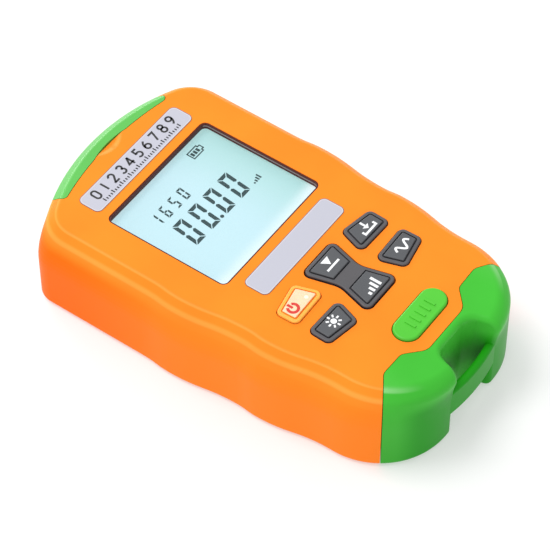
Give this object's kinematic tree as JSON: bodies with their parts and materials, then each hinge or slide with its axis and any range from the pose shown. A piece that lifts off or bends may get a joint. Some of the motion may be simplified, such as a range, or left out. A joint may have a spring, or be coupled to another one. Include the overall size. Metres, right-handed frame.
{
  "type": "optical power meter",
  "caption": "Handheld optical power meter: waisted case, sunk display, push keys, bow-tie rocker, lanyard bar in the end cap and a flip cover over the fibre port.",
  "frame": {"origin": "centre of the case's plan, on the plane of the back that it rests on", "axes": "+X to the right of the face, +Y towards the fibre port, +Z out of the face"},
  "size_m": [0.0728, 0.1236, 0.0283],
  "materials": {
    "orange_shell": "satin moulded plastic",
    "green_cap": "satin moulded plastic",
    "key_grey": "soft moulded key",
    "power_amber": "lit translucent key",
    "clear_lens": "clear window",
    "display": "lit display",
    "gasket_dark": "soft frame",
    "light_guide": "white light guide",
    "label_film": "printed film",
    "board_green": "solder mask",
    "chip_black": "moulded package",
    "steel": "plain steel",
    "port_metal": "turned and plated",
    "nut_brass": "turned brass",
    "cell_wrap": "plain wrapped cell",
    "lamp_clear": "clear moulded lamp"
  },
  "bodies": {
    "case": {"housing_shell": "orange_shell", "rear_cover": "orange_shell", "end_cap": "green_cap", "display_lens": "clear_lens", "display_gasket": "gasket_dark", "lcd_glass": "display", "lcd_backlight": "light_guide", "lcd_connector": "key_grey", "title_label": "label_film", "blank_label": "label_film", "main_board": "board_green", "board_chips": "chip_black", "key_switches": "chip_black", "rocker_fulcrum": "chip_black", "board_screws": "steel", "case_screws": "steel", "port_cover_pin": "steel", "battery_contacts": "steel", "battery_cells": "cell_wrap", "fibre_adapter": "port_metal", "adapter_nut": "nut_brass", "photodetector": "nut_brass", "lamp_led": "lamp_clear"},
    "power_key": {"power_key": "power_amber"},
    "memory_key": {"memory_key": "key_grey"},
    "wavelength_key": {"wavelength_key": "key_grey"},
    "lamp_key": {"lamp_key": "key_grey"},
    "mode_key": {"mode_key": "key_grey"},
    "press_key": {"press_key": "green_cap"},
    "port_cover": {"port_cover": "green_cap"},
    "battery_door": {"battery_door": "orange_shell"}
  },
  "joints": [
    {"name": "power_key_push", "type": "slide", "parent": "case", "child": "power_key", "axis": [0, 0, -1], "range_m": [0, 0.0006], "stiffness_N_per_m": 1200},
    {"name": "memory_key_push", "type": "slide", "parent": "case", "child": "memory_key", "axis": [0, 0, -1], "range_m": [0, 0.0006], "stiffness_N_per_m": 1200},
    {"name": "wavelength_key_push", "type": "slide", "parent": "case", "child": "wavelength_key", "axis": [0, 0, -1], "range_m": [0, 0.0006], "stiffness_N_per_m": 1200},
    {"name": "lamp_key_push", "type": "slide", "parent": "case", "child": "lamp_key", "axis": [0, 0, -1], "range_m": [0, 0.0006], "stiffness_N_per_m": 1200},
    {"name": "press_key_push", "type": "slide", "parent": "case", "child": "press_key", "axis": [0, 0, -1], "range_m": [0, 0.0006], "stiffness_N_per_m": 1200},
    {"name": "mode_key_rock", "type": "hinge", "parent": "case", "child": "mode_key", "pos_m": [0, -0.0221, 0.0231], "axis": [1, 0, 0], "range_deg": [-3, 3], "stiffness_Nm_per_rad": 0.15},
    {"name": "port_cover_flip", "type": "hinge", "parent": "case", "child": "port_cover", "pos_m": [0, 0.0601, 0.0052], "axis": [-1, 0, 0], "range_deg": [0, 90]},
    {"name": "battery_door_swing", "type": "hinge", "parent": "case", "child": "battery_door", "pos_m": [0, 0.00675, 0], "axis": [1, 0, 0], "range_deg": [0, 60]}
  ]
}
